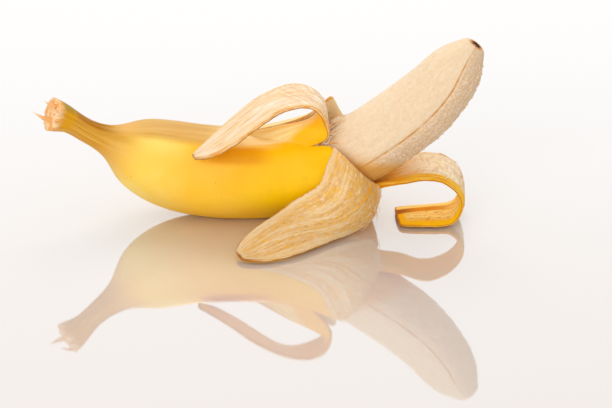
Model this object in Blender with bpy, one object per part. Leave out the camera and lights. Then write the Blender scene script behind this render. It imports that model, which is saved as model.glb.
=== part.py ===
"""A half-peeled banana lying on a table.

Two solids: the peel (stem, hollow body and the four strips folded back from it, all one
piece) and the fruit that runs inside it and stands out of it.

The banana is drawn round a curved axis that starts at the broken stem and ends at the tip
of the fruit. Angles round the axis are measured from the front (-Y) upwards, so 90 degrees
is the top. Drawing sizes are in millimetres and become metres in the meshes.
"""
import math

import bpy
import numpy as np

MM = 0.001
TANGENT_STEP = 0.05         # half the distance over which the axis's direction is taken

# Where the drawing's own zero lies, so that the box's bottom centre ends up at the origin.
DRAWING_SHIFT = np.array([16.77, -0.25, 0.0])

# The axis from the broken stem to the tip of the fruit.
AXIS = [
    (-100.4, -7.2, 49.9), (-95.2, -4.8, 46.9), (-88.0, -2.0, 41.0), (-77.5, 1.5, 34.0),
    (-67.5, 4.0, 28.0),
    (-52.0, 5.5, 21.3), (-33.0, 4.5, 18.7), (-12.0, 3.0, 19.2), (8.0, -0.5, 23.7),
    (24.5, -3.8, 33.2), (41.0, -5.2, 45.3), (52.2, -7.3, 56.7), (60.4, -9.5, 67.9),
    (67.6, -11.0, 78.0),
]

# Outer radius of the peel along the axis: (distance from the broken stem, radius).
PEEL_RADIUS = [
    (0.0, 6.6), (3.0, 6.1), (9.0, 4.8), (16.0, 4.5), (24.0, 5.4), (30.0, 7.8), (36.5, 12.2),
    (44.0, 15.6), (54.0, 17.7), (68.0, 18.6), (90.0, 18.7), (110.0, 18.3), (150.0, 17.6),
]
PEEL_THICKNESS = 2.7
FLOOR = 0.0                 # height of the table, where the underside is pressed flat
RIDGES = 5
RIDGE_ANGLE = 57.0
RIDGE_HEIGHT = 0.022        # of the radius
CAVITY_START = 43.0         # distance from the broken stem to the end of the fruit
CAVITY_ROUNDING = 9.0       # distance over which the hollow opens to its full width
CAVITY_STEP = 0.6           # distance from the hollow's end to its first ring
STEM_LEAN = 0.6             # how much farther the stem reaches on top than underneath
STEM_LEAN_REACH = 14.0
STEM_CENTRE = -0.5          # the middle of the broken face

# The fruit: radius at a distance back from its tip.
FRUIT_RADIUS = [
    (0.0, 0.0), (0.4, 3.3), (1.4, 4.9), (4.0, 6.5), (8.0, 8.8), (14.0, 11.1), (24.0, 12.6),
    (38.0, 13.9), (56.0, 14.3), (75.0, 14.3),
]
GAP = 0.3
LEAST_RADIUS = 0.05         # keeps every ring open

# The four lines where the peel is torn: angle round the axis, distance from the stem.
TEARS = [(-60.0, 133.0), (52.0, 117.0), (86.0, 85.0), (217.0, 129.0)]

# Each strip between two tears: sections across it from its root to its tip. A section is the
# point on its lower-angle edge, its middle and the point on its higher-angle edge.
FRONT_STRIP = [
    ((29.9, -11.2, 14.8), (19.8, -21.9, 29.2), (10.6, -16.4, 37.6)),
    ((28.5, -10.9, 8.8), (20.0, -25.1, 22.0), (9.3, -19.7, 33.2)),
    ((24.8, -14.1, 3.1), (15.2, -24.6, 13.7), (5.9, -20.8, 24.8)),
    ((14.2, -23.0, 1.3), (7.0, -24.5, 9.0), (-1.5, -20.8, 19.2)),
    ((1.0, -35.0, 1.3), (-6.0, -28.0, 7.0), (-12.0, -24.3, 12.7)),
    ((-13.0, -43.5, 1.3), (-18.8, -36.0, 3.8), (-22.0, -29.7, 7.5)),
    ((-23.5, -45.0, 1.2), (-26.6, -40.0, 1.5), (-29.0, -34.5, 2.6)),
]
TOP_STRIP = [
    ((7.0, -15.6, 39.4), (-2.5, -9.5, 42.0), (-12.0, -3.5, 41.4)),
    ((9.2, -19.2, 45.4), (6.5, -13.0, 46.9), (2.0, -7.0, 46.0)),
    ((5.7, -18.8, 52.8), (7.5, -11.0, 52.6), (7.0, -3.5, 51.0)),
    ((-3.3, -19.0, 55.2), (-1.0, -10.0, 57.2), (0.5, 0.0, 57.4)),
    ((-12.5, -20.3, 51.8), (-11.0, -11.0, 55.6), (-10.0, -1.8, 57.8)),
    ((-24.0, -22.3, 44.0), (-24.0, -12.0, 47.5), (-24.0, -1.5, 49.3)),
    ((-34.5, -20.5, 36.6), (-35.0, -12.3, 39.0), (-35.5, -4.3, 39.8)),
    ((-43.5, -17.0, 32.5), (-44.5, -13.2, 33.0), (-45.2, -9.5, 32.4)),
]
BACK_STRIP = [
    ((-6.0, 2.5, 40.6), (8.0, 17.5, 34.5), (28.0, 15.5, 20.0)),
    ((3.5, 1.6, 45.4), (12.8, 19.5, 34.9), (30.0, 18.5, 21.5)),
    ((9.0, 1.6, 50.6), (15.8, 20.5, 34.2), (30.0, 22.0, 20.5)),
    ((10.4, 8.5, 47.2), (16.0, 27.0, 28.5), (27.0, 27.0, 12.0)),
    ((5.0, 24.0, 34.0), (10.0, 31.0, 20.0), (18.0, 33.5, 4.0)),
    ((-6.0, 33.0, 18.0), (-1.0, 37.0, 9.0), (5.0, 41.0, 1.4)),
    ((-22.0, 40.0, 5.0), (-20.5, 42.5, 2.2), (-18.5, 45.5, 1.3)),
]
RIGHT_STRIP = [
    ((37.7, 10.0, 21.5), (38.0, -2.0, 19.5), (39.0, -13.0, 20.1)),
    ((46.5, 8.6, 23.7), (47.2, -3.0, 22.5), (47.5, -14.8, 22.1)),
    ((55.8, 9.2, 22.6), (56.0, -2.5, 21.4), (55.7, -14.2, 20.2)),
    ((63.3, 9.5, 15.9), (62.9, -2.0, 15.0), (62.0, -14.0, 14.0)),
    ((63.6, 8.6, 8.3), (63.2, -2.5, 8.1), (62.7, -13.8, 8.2)),
    ((60.8, 8.2, 2.9), (60.0, -2.2, 2.9), (59.3, -14.2, 2.6)),
    ((54.0, 8.0, 1.3), (53.2, -2.2, 1.8), (52.6, -14.4, 1.3)),
    ((36.7, 5.6, 1.2), (36.8, -3.0, 1.4), (38.2, -13.6, 1.2)),
]

BODY_COLUMNS = (12, 6, 14, 9)   # mesh columns across each strip, from the front strip upwards
STRAIGHT_ROWS = 17              # rings from the stem to where the tears start to matter
TORN_ROWS = 9
STRIP_ROWS = 21
CAVITY_ROWS = 7
LEVEL_START = 62.0              # distance from the stem up to which the rings are square
TEAR_GAP = 0.35
TIP_THICKNESS = 1.5
EDGE_THINNING = 0.45
LEAST_THICKNESS = 0.4
TIP_SHARE = 0.1                 # share of a strip's length over which its tip rounds off
TIP_WIDTHS = (0.45, 0.45, 0.45, 0.85)   # share of its width each strip keeps at its tip
TIP_CURVE = 2.2                 # higher makes the rounding of a tip start later
TIP_FULLNESS = 0.999            # below 1, so that the last row stays open
EDGE_CURVE = 6                  # higher keeps the thinning closer to a strip's edges
EDGE_START = 8                  # the thinning is complete at one part in this many
ROOT_STEP = 6.0                 # how far inside the body a strip's curve starts
SPACING_POWER = 0.75            # below 1, rows are closer where sections are

FRUIT_COLUMNS = 30
FRUIT_ROWS = 30
FRUIT_FIRST_ROW = 0.06          # share at which the fruit's rings start, over its rounded end
FRUIT_EVEN = 0.45               # how evenly its rings are spaced
FRUIT_END_STEP = 0.5            # distance from its end to its first ring
FRUIT_TIP_STEP = 0.25           # distance from its last ring to its tip


def natural_spline(knots, values, at):
    """Value at `at` of the natural cubic spline through `values` (any shape) at `knots`."""
    knots = np.asarray(knots, float)
    values = np.asarray(values, float)
    flat = values.reshape(len(knots), -1)
    step = np.diff(knots)
    slope = np.diff(flat, axis=0) / step[:, None]
    system = np.eye(len(knots))
    right = np.zeros_like(flat)
    for i in range(1, len(knots) - 1):
        system[i, i - 1] = step[i - 1]
        system[i, i] = 2 * (step[i - 1] + step[i])
        system[i, i + 1] = step[i]
        right[i] = 6 * (slope[i] - slope[i - 1])
    bend = np.linalg.solve(system, right)
    at = np.atleast_1d(at)
    i = np.clip(np.searchsorted(knots, at, side="right") - 1, 0, len(step) - 1)
    h = step[i][:, None]
    a = (knots[i + 1] - at)[:, None] / h
    b = (at - knots[i])[:, None] / h
    curve = a * flat[i] + b * flat[i + 1]
    curve += ((a ** 3 - a) * bend[i] + (b ** 3 - b) * bend[i + 1]) * h ** 2 / 6
    return curve.reshape((len(at),) + values.shape[1:])


def chord_knots(points, power=1.0):
    """Knots spaced by the distance between points."""
    length = np.linalg.norm(np.diff(np.asarray(points, float), axis=0), axis=1)
    return np.concatenate([[0.0], np.cumsum(length ** power)])


def smooth(x):
    x = np.clip(x, 0.0, 1.0)
    return x * x * (3 - 2 * x)


def unit(vectors):
    return vectors / np.linalg.norm(vectors, axis=-1, keepdims=True)


AXIS_KNOTS = chord_knots(AXIS)
AXIS_LENGTH = AXIS_KNOTS[-1]


def axis_frame(along):
    """Point, direction, front and upward unit vectors of the axis at distances `along`."""
    along = np.atleast_1d(along)
    point = natural_spline(AXIS_KNOTS, AXIS, along)
    ahead = natural_spline(AXIS_KNOTS, AXIS, along + TANGENT_STEP)
    behind = natural_spline(AXIS_KNOTS, AXIS, along - TANGENT_STEP)
    direction = unit(ahead - behind)
    front = np.array([0.0, -1.0, 0.0]) + direction[:, 1:2] * direction
    front = unit(front)
    upward = np.cross(front, direction)
    return point, direction, front, upward


def around_axis(along, angle, radius):
    """Points at angles (degrees) and radii round the axis, all arrays of one length."""
    point, _, front, upward = axis_frame(along)
    turn = np.radians(angle)[:, None]
    return point + np.asarray(radius)[:, None] * (np.cos(turn) * front + np.sin(turn) * upward)


def peel_radius(along, angle):
    """Outer radius of the peel, with its long ridges."""
    stations = np.array(PEEL_RADIUS)
    radius = np.maximum(natural_spline(stations[:, 0], stations[:, 1], along), LEAST_RADIUS)
    ridge = np.cos(np.radians(RIDGES * (np.asarray(angle) - RIDGE_ANGLE)))
    return radius * (1 + RIDGE_HEIGHT * ridge)


def cavity_radius(along, angle):
    """Inner radius of the peel, which closes round the end of the fruit."""
    depth = np.clip((along - CAVITY_START) / CAVITY_ROUNDING, 0.0, 1.0)
    closing = np.sqrt(1 - (1 - depth) ** 2)
    return (peel_radius(along, angle) - PEEL_THICKNESS) * closing


def tear_distance(angle):
    """Distance from the stem at which the strips start, at an angle round the axis."""
    angles = [tear[0] for tear in TEARS] + [TEARS[0][0] + 360]
    distances = [tear[1] for tear in TEARS] + [TEARS[0][1]]
    wrapped = (np.asarray(angle, float) - angles[0]) % 360 + angles[0]
    i = np.clip(np.searchsorted(angles, wrapped, side="right") - 1, 0, len(TEARS) - 1)
    low = np.array(angles)[i]
    high = np.array(angles)[i + 1]
    share = smooth((wrapped - low) / (high - low))
    return np.array(distances)[i] * (1 - share) + np.array(distances)[i + 1] * share


def strip_sections(strip, low, high, across):
    """Rows of points from inside the body over the root to the tip, and the rows' knots."""
    angle = low + (high - low) * (across + 1) / 2
    edge = tear_distance(angle)
    rows = []
    for back in (ROOT_STEP, 0.0):
        radius = peel_radius(edge - back, angle) - PEEL_THICKNESS / 2
        rows.append(around_axis(edge - back, angle, radius))
    first, middle, second = (np.array(points) for points in zip(*strip))
    half_width = (second - first) / 2
    bow = middle - (first + second) / 2
    v = across[:, None]
    for i in range(len(strip)):
        rows.append(middle[i] + half_width[i] * v - bow[i] * v ** 2)
    root_angle = np.array([(low + high) / 2])
    root_distance = tear_distance(root_angle)
    root = around_axis(root_distance, root_angle, peel_radius(root_distance, root_angle))
    knots = chord_knots(np.concatenate([root, middle]), SPACING_POWER)
    return np.array(rows), np.concatenate([[-(ROOT_STEP ** SPACING_POWER)], knots])


def strip_width_factor(share, tip_width):
    """How much of its width a strip keeps at a share of its length: the tip is rounded."""
    x = np.clip((share - (1 - TIP_SHARE)) / TIP_SHARE, 0.0, 1.0)
    return 1 - (1 - tip_width) * (1 - np.sqrt(1 - TIP_FULLNESS * x ** TIP_CURVE))


def strip_surface(strip, low, high, columns, tip_width):
    """The middle surface of one strip, its skin-side normals and its thickness."""
    across = np.linspace(-1.0, 1.0, columns + 1)
    width = np.linalg.norm(np.array(strip[2][2]) - np.array(strip[2][0]))
    rows = []
    for share in np.linspace(0.0, 1.0, STRIP_ROWS + 1):
        spread = across * strip_width_factor(share, tip_width)
        spread *= 1 - 2 * TEAR_GAP / width * smooth(share * STRIP_ROWS / 2)
        sections, knots = strip_sections(strip, low, high, spread)
        rows.append(natural_spline(knots, sections, share * knots[-1])[0])
    surface = np.array(rows)
    normal = unit(np.cross(np.gradient(surface, axis=0), np.gradient(surface, axis=1)))
    share = np.linspace(0.0, 1.0, STRIP_ROWS + 1)[:, None]
    thickness = PEEL_THICKNESS + (TIP_THICKNESS - PEEL_THICKNESS) * share
    thickness = thickness * (1 - EDGE_THINNING * smooth(share * EDGE_START) * np.abs(across) ** EDGE_CURVE)
    return surface, normal, thickness[..., None]


class Shell:
    """Collects points and faces of one closed mesh."""

    def __init__(self):
        self.points = []
        self.faces = []

    def add(self, rows):
        """Adds an array of points and returns their numbers in the same arrangement."""
        rows = np.asarray(rows, float)
        start = len(self.points)
        self.points.extend(rows.reshape(-1, 3).tolist())
        return np.arange(start, start + rows.reshape(-1, 3).shape[0]).reshape(rows.shape[:-1])

    def sheet(self, grid, flip=False):
        """Faces over a grid of point numbers, rows along and columns around."""
        for i in range(grid.shape[0] - 1):
            for j in range(grid.shape[1] - 1):
                face = [grid[i, j], grid[i + 1, j], grid[i + 1, j + 1], grid[i, j + 1]]
                self.faces.append(face[::-1] if flip else face)

    def fan(self, ring, centre, flip=False):
        for j in range(len(ring) - 1):
            face = [centre, ring[j], ring[j + 1]]
            self.faces.append(face[::-1] if flip else face)

    def build(self, name, material):
        points = (np.array(self.points) + DRAWING_SHIFT) * MM
        mesh = bpy.data.meshes.new(name)
        mesh.from_pydata(points.tolist(), [], [[int(i) for i in face] for face in self.faces])
        mesh.validate()
        mesh.shade_smooth()
        mesh.materials.append(material)
        model = bpy.data.objects.new(name, mesh)
        bpy.context.scene.collection.objects.link(model)
        return model


def closed_ring(grid):
    """A grid whose first column is repeated at its end."""
    return np.concatenate([grid, grid[:, :1]], axis=1)


def column_angles():
    """Angles of the body's columns, and the number of the column at each tear."""
    angles = [tear[0] for tear in TEARS] + [TEARS[0][0] + 360]
    columns = []
    for i, count in enumerate(BODY_COLUMNS):
        columns.extend(np.linspace(angles[i], angles[i + 1], count, endpoint=False))
    return np.array(columns), np.concatenate([[0], np.cumsum(BODY_COLUMNS)])


def leaning(along, angle):
    """Distances near the broken stem, drawn out along its upper side."""
    upper = (1 + np.sin(np.radians(angle))) / 2
    return along - STEM_LEAN * upper * np.clip(1 - along / STEM_LEAN_REACH, 0.0, 1.0)


def ring_distances(start, rows_level, rows_torn, angle):
    """Distances from the stem of each ring's points: square rings, then slanted ones."""
    level = start + (LEVEL_START - start) * np.linspace(0, 1, rows_level)
    edge = tear_distance(angle)
    rows = [leaning(distance, angle) for distance in level]
    for share in np.linspace(0, 1, rows_torn + 1)[1:]:
        rows.append(LEVEL_START + (edge - LEVEL_START) * share)
    return rows


def make_peel(material):
    shell = Shell()
    angle, tear_columns = column_angles()

    skin_rows = [around_axis(along, angle, peel_radius(along, angle))
                 for along in ring_distances(0.0, STRAIGHT_ROWS, TORN_ROWS, angle)]
    for row in skin_rows:
        row[:, 2] = np.maximum(row[:, 2], FLOOR)
    skin = shell.add(skin_rows)
    shell.sheet(closed_ring(skin))
    stem_centre = shell.add(axis_frame(STEM_CENTRE)[0])[0]
    shell.fan(closed_ring(skin)[0], stem_centre)

    inside_rows = [around_axis(along, angle, cavity_radius(along, angle))
                   for along in ring_distances(CAVITY_START + CAVITY_STEP, CAVITY_ROWS, TORN_ROWS,
                                               angle)]
    inside = shell.add(inside_rows)
    shell.sheet(closed_ring(inside), flip=True)
    shell.fan(closed_ring(inside)[0], shell.add(axis_frame(CAVITY_START)[0])[0], flip=True)

    angles = [tear[0] for tear in TEARS] + [TEARS[0][0] + 360]
    strips = (FRONT_STRIP, TOP_STRIP, BACK_STRIP, RIGHT_STRIP)
    for i, strip in enumerate(strips):
        surface, normal, thickness = strip_surface(strip, angles[i], angles[i + 1],
                                                   BODY_COLUMNS[i], TIP_WIDTHS[i])
        outer_rows = (surface + normal * thickness / 2)[1:]
        inner_rows = (surface - normal * thickness / 2)[1:]
        outer_rows[..., 2] = np.maximum(outer_rows[..., 2], FLOOR)
        inner_rows[..., 2] = np.maximum(inner_rows[..., 2], FLOOR + LEAST_THICKNESS)
        columns = np.arange(tear_columns[i], tear_columns[i + 1] + 1) % len(angle)
        outer = np.vstack([skin[-1][columns], shell.add(outer_rows)])
        inner = np.vstack([inside[-1][columns], shell.add(inner_rows)])
        shell.sheet(outer)
        shell.sheet(inner, flip=True)
        shell.sheet(np.stack([inner[:, 0], outer[:, 0]], axis=1))
        shell.sheet(np.stack([outer[:, -1], inner[:, -1]], axis=1))
        shell.sheet(np.stack([outer[-1], inner[-1]], axis=0))
    return shell.build("peel", material)


def fruit_radius(along, angle):
    """Radius of the fruit, kept clear of the inside of the peel."""
    stations = np.array(FRUIT_RADIUS)
    back = np.clip(AXIS_LENGTH - along, 0.0, stations[-1, 0])
    radius = np.interp(back, stations[:, 0], stations[:, 1])
    inside = cavity_radius(along - GAP, angle) - GAP
    return np.minimum(radius, np.maximum(inside, LEAST_RADIUS))


def make_fruit(material):
    shell = Shell()
    angle = np.linspace(-60, 300, FRUIT_COLUMNS, endpoint=False)
    start = CAVITY_START + 2 * GAP
    first = start + FRUIT_END_STEP
    last = AXIS_LENGTH - FRUIT_TIP_STEP
    share = (1 - np.cos(np.linspace(FRUIT_FIRST_ROW, 1, FRUIT_ROWS) * math.pi)) / 2
    share = (1 - FRUIT_EVEN) * share + FRUIT_EVEN * np.linspace(0, 1, FRUIT_ROWS)
    distances = first + (last - first) * share
    rows = []
    for distance in distances:
        along = np.full(len(angle), distance)
        rows.append(around_axis(along, angle, fruit_radius(along, angle)))
    grid = closed_ring(shell.add(rows))
    shell.sheet(grid)
    shell.fan(grid[0], shell.add(axis_frame(start)[0])[0])
    shell.fan(grid[-1], shell.add(axis_frame(AXIS_LENGTH)[0])[0], flip=True)
    return shell.build("flesh", material)


def food_material(name, color, roughness):
    material = bpy.data.materials.new(name)
    material.use_nodes = True
    shader = material.node_tree.nodes["Principled BSDF"]
    shader.inputs["Base Color"].default_value = (*color, 1.0)
    shader.inputs["Roughness"].default_value = roughness
    shader.inputs["Metallic"].default_value = 0.0
    return material


def main():
    for item in list(bpy.data.objects):
        bpy.data.objects.remove(item, do_unlink=True)
    make_peel(food_material("banana_peel", (0.90, 0.62, 0.05), 0.45))
    make_fruit(food_material("banana_flesh", (0.86, 0.72, 0.47), 0.6))


main()
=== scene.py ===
"""The looks of a half-peeled banana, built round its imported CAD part.

Every surface is described by where it lay on the whole, unpeeled banana: a distance from the
broken stem and an angle round the axis (0 degrees is the front, 90 the top). The strips that
were folded back keep those two numbers, so streaks and ridges run along them without a join.
Drawing sizes are in millimetres; meshes are in metres.
"""
import itertools
import math

import bmesh
import bpy
import numpy as np
from mathutils import Matrix, Vector


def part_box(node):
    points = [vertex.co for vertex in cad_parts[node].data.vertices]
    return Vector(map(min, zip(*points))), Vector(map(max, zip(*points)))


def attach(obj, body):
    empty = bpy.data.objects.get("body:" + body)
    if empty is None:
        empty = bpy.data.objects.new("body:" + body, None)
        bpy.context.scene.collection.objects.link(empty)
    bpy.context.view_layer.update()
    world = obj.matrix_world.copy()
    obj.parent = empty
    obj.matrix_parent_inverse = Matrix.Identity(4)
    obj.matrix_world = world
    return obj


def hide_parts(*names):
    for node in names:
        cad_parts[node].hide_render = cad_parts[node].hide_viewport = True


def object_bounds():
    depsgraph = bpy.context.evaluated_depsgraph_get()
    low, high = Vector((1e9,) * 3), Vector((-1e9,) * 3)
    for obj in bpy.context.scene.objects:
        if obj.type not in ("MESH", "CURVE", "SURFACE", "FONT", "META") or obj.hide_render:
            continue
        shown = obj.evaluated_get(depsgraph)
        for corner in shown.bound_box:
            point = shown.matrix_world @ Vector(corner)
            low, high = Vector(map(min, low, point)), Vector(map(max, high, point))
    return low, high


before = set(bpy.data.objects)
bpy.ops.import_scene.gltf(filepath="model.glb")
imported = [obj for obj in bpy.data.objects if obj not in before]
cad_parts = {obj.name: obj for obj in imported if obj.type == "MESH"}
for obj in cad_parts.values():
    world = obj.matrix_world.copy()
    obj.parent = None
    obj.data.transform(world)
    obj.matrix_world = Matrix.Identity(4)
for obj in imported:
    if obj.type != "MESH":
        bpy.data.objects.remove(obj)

MM = 0.001
CAD_LOW, CAD_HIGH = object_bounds()

# The drawing, as in the CAD part.

AXIS = [
    (-100.4, -7.2, 49.9), (-95.2, -4.8, 46.9), (-88.0, -2.0, 41.0), (-77.5, 1.5, 34.0),
    (-67.5, 4.0, 28.0),
    (-52.0, 5.5, 21.3), (-33.0, 4.5, 18.7), (-12.0, 3.0, 19.2), (8.0, -0.5, 23.7),
    (24.5, -3.8, 33.2), (41.0, -5.2, 45.3), (52.2, -7.3, 56.7), (60.4, -9.5, 67.9),
    (67.6, -11.0, 78.0),
]
PEEL_RADIUS = [
    (0.0, 6.6), (3.0, 6.1), (9.0, 4.8), (16.0, 4.5), (24.0, 5.4), (30.0, 7.8), (36.5, 12.2),
    (44.0, 15.6), (54.0, 17.7), (68.0, 18.6), (90.0, 18.7), (110.0, 18.3), (150.0, 17.6),
]
PEEL_THICKNESS = 2.7
RIDGES = 5
RIDGE_ANGLE = 57.0
RIDGE_HEIGHT = 0.022
CAVITY_START = 43.0
CAVITY_ROUNDING = 9.0
STEM_LEAN = 0.6             # how much farther the stem reaches on top than underneath
STEM_LEAN_REACH = 14.0
FRUIT_RADIUS = [
    (0.0, 0.0), (0.4, 3.3), (1.4, 4.9), (4.0, 6.5), (8.0, 8.8), (14.0, 11.1), (24.0, 12.6),
    (38.0, 13.9), (56.0, 14.3), (75.0, 14.3),
]
FRUIT_GAP = 0.3

# The torn lines: angle round the axis, distance from the stem.
TEARS = [(-60.0, 133.0), (52.0, 117.0), (86.0, 85.0), (217.0, 129.0)]

# Sections of each strip from its root to its tip: the lower-angle edge, the middle, the other edge.
FRONT_STRIP = [
    ((29.9, -11.2, 14.8), (19.8, -21.9, 29.2), (10.6, -16.4, 37.6)),
    ((28.5, -10.9, 8.8), (20.0, -25.1, 22.0), (9.3, -19.7, 33.2)),
    ((24.8, -14.1, 3.1), (15.2, -24.6, 13.7), (5.9, -20.8, 24.8)),
    ((14.2, -23.0, 1.3), (7.0, -24.5, 9.0), (-1.5, -20.8, 19.2)),
    ((1.0, -35.0, 1.3), (-6.0, -28.0, 7.0), (-12.0, -24.3, 12.7)),
    ((-13.0, -43.5, 1.3), (-18.8, -36.0, 3.8), (-22.0, -29.7, 7.5)),
    ((-23.5, -45.0, 1.2), (-26.6, -40.0, 1.5), (-29.0, -34.5, 2.6)),
]
TOP_STRIP = [
    ((7.0, -15.6, 39.4), (-2.5, -9.5, 42.0), (-12.0, -3.5, 41.4)),
    ((9.2, -19.2, 45.4), (6.5, -13.0, 46.9), (2.0, -7.0, 46.0)),
    ((5.7, -18.8, 52.8), (7.5, -11.0, 52.6), (7.0, -3.5, 51.0)),
    ((-3.3, -19.0, 55.2), (-1.0, -10.0, 57.2), (0.5, 0.0, 57.4)),
    ((-12.5, -20.3, 51.8), (-11.0, -11.0, 55.6), (-10.0, -1.8, 57.8)),
    ((-24.0, -22.3, 44.0), (-24.0, -12.0, 47.5), (-24.0, -1.5, 49.3)),
    ((-34.5, -20.5, 36.6), (-35.0, -12.3, 39.0), (-35.5, -4.3, 39.8)),
    ((-43.5, -17.0, 32.5), (-44.5, -13.2, 33.0), (-45.2, -9.5, 32.4)),
]
BACK_STRIP = [
    ((-6.0, 2.5, 40.6), (8.0, 17.5, 34.5), (28.0, 15.5, 20.0)),
    ((3.5, 1.6, 45.4), (12.8, 19.5, 34.9), (30.0, 18.5, 21.5)),
    ((9.0, 1.6, 50.6), (15.8, 20.5, 34.2), (30.0, 22.0, 20.5)),
    ((10.4, 8.5, 47.2), (16.0, 27.0, 28.5), (27.0, 27.0, 12.0)),
    ((5.0, 24.0, 34.0), (10.0, 31.0, 20.0), (18.0, 33.5, 4.0)),
    ((-6.0, 33.0, 18.0), (-1.0, 37.0, 9.0), (5.0, 41.0, 1.4)),
    ((-22.0, 40.0, 5.0), (-20.5, 42.5, 2.2), (-18.5, 45.5, 1.3)),
]
RIGHT_STRIP = [
    ((37.7, 10.0, 21.5), (38.0, -2.0, 19.5), (39.0, -13.0, 20.1)),
    ((46.5, 8.6, 23.7), (47.2, -3.0, 22.5), (47.5, -14.8, 22.1)),
    ((55.8, 9.2, 22.6), (56.0, -2.5, 21.4), (55.7, -14.2, 20.2)),
    ((63.3, 9.5, 15.9), (62.9, -2.0, 15.0), (62.0, -14.0, 14.0)),
    ((63.6, 8.6, 8.3), (63.2, -2.5, 8.1), (62.7, -13.8, 8.2)),
    ((60.8, 8.2, 2.9), (60.0, -2.2, 2.9), (59.3, -14.2, 2.6)),
    ((54.0, 8.0, 1.3), (53.2, -2.2, 1.8), (52.6, -14.4, 1.3)),
    ((36.7, 5.6, 1.2), (36.8, -3.0, 1.4), (38.2, -13.6, 1.2)),
]
STRIPS = (FRONT_STRIP, TOP_STRIP, BACK_STRIP, RIGHT_STRIP)

TEAR_GAP = 0.35
TEAR_GAP_SHARE = 0.095      # share of a strip's length over which the tear opens
TIP_THICKNESS = 1.5
EDGE_THINNING = 0.45
TIP_SHARE = 0.1
TIP_WIDTHS = (0.45, 0.45, 0.45, 0.85)
ROOT_STEP = 6.0
SPACING_POWER = 0.75
LEAST_THICKNESS = 0.4

# The looks: their fineness and what each strip is like.

COLUMNS = (72, 44, 52, 52)      # columns across each strip, from the front strip upwards
LEVEL_ROWS = 58                 # rings from the stem to where the tears start to matter
LEVEL_START = 62.0
TORN_ROWS = 56
STRIP_ROWS = 118
CAVITY_ROWS = 12
WALL_ROWS = 3                   # rows of points across the torn thickness of the peel
STEM_FACE = (0.96, 0.9, 0.82, 0.72, 0.6, 0.47, 0.33, 0.18)   # rings on the broken stem's face
GRAIN_RADIUS = 17.0             # radius at which streaks are laid out
# For each strip: how stained its inside is along its lower-angle and its higher-angle edge,
# how far its root is amber (an amber stain with painted shade of the fold) in millimetres, and how
# strongly its bends are creased.
STRIP_STAINS = ((0.0, 0.05), (0.22, 0.12), (0.1, 0.1), (0.1, 1.0))
STRIP_AMBER_AND_SHADE = (4.0, 5.0, 1.5, 20.0)
STRIP_CREASES = (0.4, 1.0, 0.0, 0.9)
# For each strip: how blotched its inside is, how worn its skin is, how browned and how golden
# its torn edge is, and how much painted light lightens its inside.
STRIP_TRAITS = {
    "blotch": (1.0, 0.15, 0.2, 0.0),
    "worn": (0.0, 0.0, 0.0, 1.0),
    "browned": (1.0, 1.0, 0.0, 1.0),
    "gold": (0.0, 0.0, 1.0, 0.8),
    "light": (0.0, 0.0, 1.0, 0.35),
}
STRIP_VALUES = ("edge", "tip", "root", "low", "bend", "stain", *STRIP_TRAITS)
FAR = 20.0                      # the value of a distance where nothing is near

FRUIT_COLUMNS = 132
FRUIT_ROWS = 250
SEAM_ANGLE = -8.0
SEAM_TURN = 12.0                # how many degrees the seam turns upwards at the tip
SEAM_TURN_REACH = 22.0
SEAM_DEPTH = 0.4
SEAM_WIDTH = 0.55
FRUIT_FACETS = 5
TIP_SPOT = 0.4                  # how far back from the tip the dark spot reaches
TIP_PIT = 0.3
STRAND_SIDES = 6
FRUIT_TURN_RADIUS = 14.0        # radius at which distances round the fruit are measured
WALL_CLEARANCE = 0.3            # height above the floor that the torn edges keep
DRAWN_CENTRE = np.array([-19.67, 0.25, 0.0])   # bottom centre of the peel's box in the drawing

CAMERA_TARGET = np.array([0.0, 0.3, 5.7])      # the drawing's point that the camera looks at
CAMERA_DISTANCE = 0.899         # metres
CAMERA_ELEVATION = 24.0         # degrees
CAMERA_ROLL = 0.0169            # radians
CAMERA_LENS = 129.27            # millimetres
FLOOR_HALF = 4.0                # metres from the middle of the floor to its sides
FLOOR_DROP = 0.0002             # metres from the banana down to the floor


def natural_spline(knots, values, at):
    """Value at `at` of the natural cubic spline through `values` (any shape) at `knots`."""
    knots = np.asarray(knots, float)
    values = np.asarray(values, float)
    flat = values.reshape(len(knots), -1)
    step = np.diff(knots)
    slope = np.diff(flat, axis=0) / step[:, None]
    system = np.eye(len(knots))
    right = np.zeros_like(flat)
    for i in range(1, len(knots) - 1):
        system[i, i - 1] = step[i - 1]
        system[i, i] = 2 * (step[i - 1] + step[i])
        system[i, i + 1] = step[i]
        right[i] = 6 * (slope[i] - slope[i - 1])
    bend = np.linalg.solve(system, right)
    at = np.atleast_1d(at)
    i = np.clip(np.searchsorted(knots, at, side="right") - 1, 0, len(step) - 1)
    h = step[i][:, None]
    a = (knots[i + 1] - at)[:, None] / h
    b = (at - knots[i])[:, None] / h
    curve = a * flat[i] + b * flat[i + 1]
    curve += ((a ** 3 - a) * bend[i] + (b ** 3 - b) * bend[i + 1]) * h ** 2 / 6
    return curve.reshape((len(at),) + values.shape[1:])


def chord_knots(points, power=1.0):
    """Knots spaced by the distance between points."""
    length = np.linalg.norm(np.diff(np.asarray(points, float), axis=0), axis=1)
    return np.concatenate([[0.0], np.cumsum(length ** power)])


def smooth(x):
    x = np.clip(x, 0.0, 1.0)
    return x * x * (3 - 2 * x)


def unit(vectors):
    return vectors / np.maximum(np.linalg.norm(vectors, axis=-1, keepdims=True), 1e-9)


AXIS_KNOTS = chord_knots(AXIS)
AXIS_LENGTH = AXIS_KNOTS[-1]


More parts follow.
